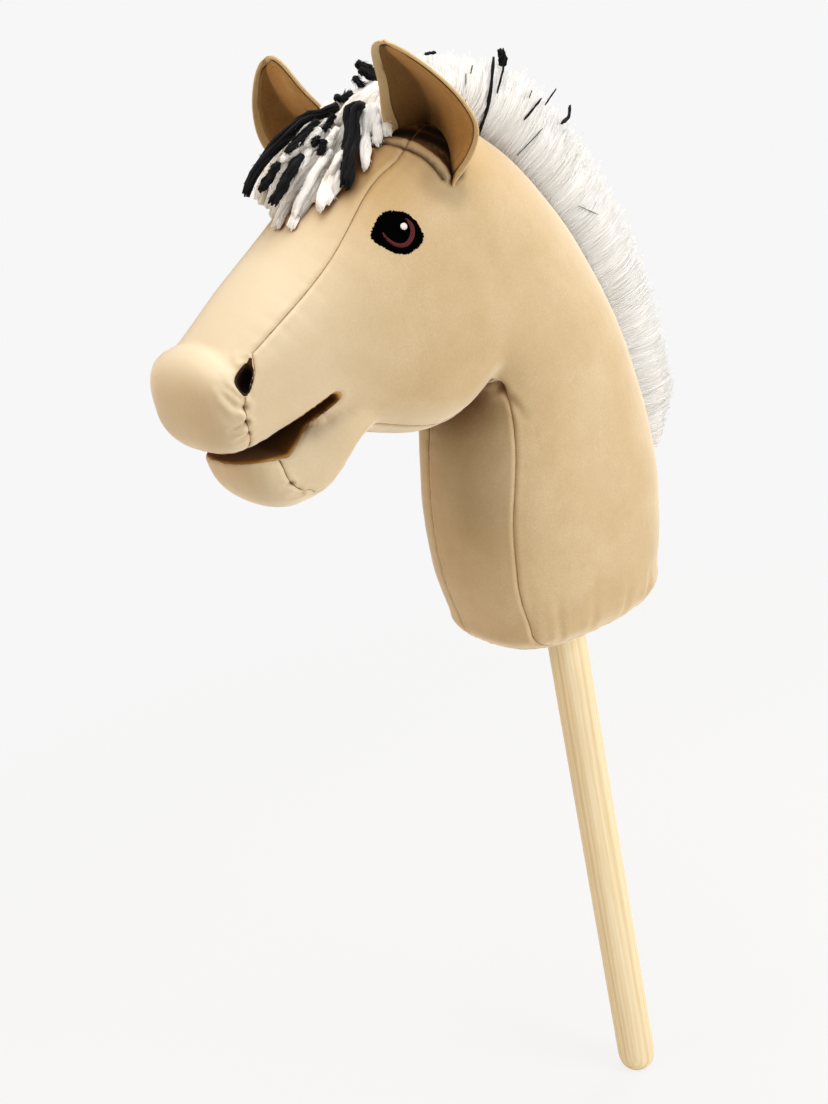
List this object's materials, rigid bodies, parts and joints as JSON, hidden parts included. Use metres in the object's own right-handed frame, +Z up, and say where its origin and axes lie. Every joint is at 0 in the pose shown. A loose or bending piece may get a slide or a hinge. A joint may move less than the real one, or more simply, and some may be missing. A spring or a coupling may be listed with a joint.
{
  "type": "hobby horse",
  "caption": "Stuffed velour horse's head and neck with a yarn mane, that pushes onto a round wooden stick and lifts off it.",
  "frame": {"origin": "centre of the flat on the stick's foot", "axes": "+Z up the stick, -Y the way the horse looks, +X towards its left side"},
  "size_m": [0.1536, 0.329, 0.6811],
  "materials": {
    "tan_velour": "matte",
    "ear_lining_velour": "matte",
    "mouth_lining_velour": "matte",
    "white_yarn": "matte",
    "black_yarn": "matte",
    "pine": "satin",
    "black_thread": "satin",
    "red_thread": "satin",
    "white_thread": "satin",
    "polyester_filling": "matte",
    "sleeve_plastic": "matte"
  },
  "bodies": {
    "stick": {"stick": "pine"},
    "head": {"base_panel": "tan_velour", "chin_gusset": "tan_velour", "forehead_gusset": "tan_velour", "forelock_black_yarn": "black_yarn", "forelock_white_yarn": "white_yarn", "head_stuffing": "polyester_filling", "jaw_stuffing": "polyester_filling", "left_ear_lining": "ear_lining_velour", "left_ear_outer": "tan_velour", "left_eye_glint": "white_thread", "left_eye_ground": "black_thread", "left_eye_iris": "red_thread", "left_nostril_lining": "mouth_lining_velour", "left_side_panel": "tan_velour", "mane_black_yarn_1": "black_yarn", "mane_black_yarn_2": "black_yarn", "mane_black_yarn_3": "black_yarn", "mane_tape": "tan_velour", "mane_white_yarn": "white_yarn", "mouth_lining": "mouth_lining_velour", "neck_stuffing": "polyester_filling", "right_ear_lining": "ear_lining_velour", "right_ear_outer": "tan_velour", "right_eye_glint": "white_thread", "right_eye_ground": "black_thread", "right_eye_iris": "red_thread", "right_nostril_lining": "mouth_lining_velour", "right_side_panel": "tan_velour", "stick_sleeve": "sleeve_plastic", "throat_gusset": "tan_velour"}
  },
  "joints": [
    {"name": "head_lift", "type": "slide", "parent": "stick", "child": "head", "axis": [0, 0, 1], "range_m": [0, 0.2]}
  ]
}
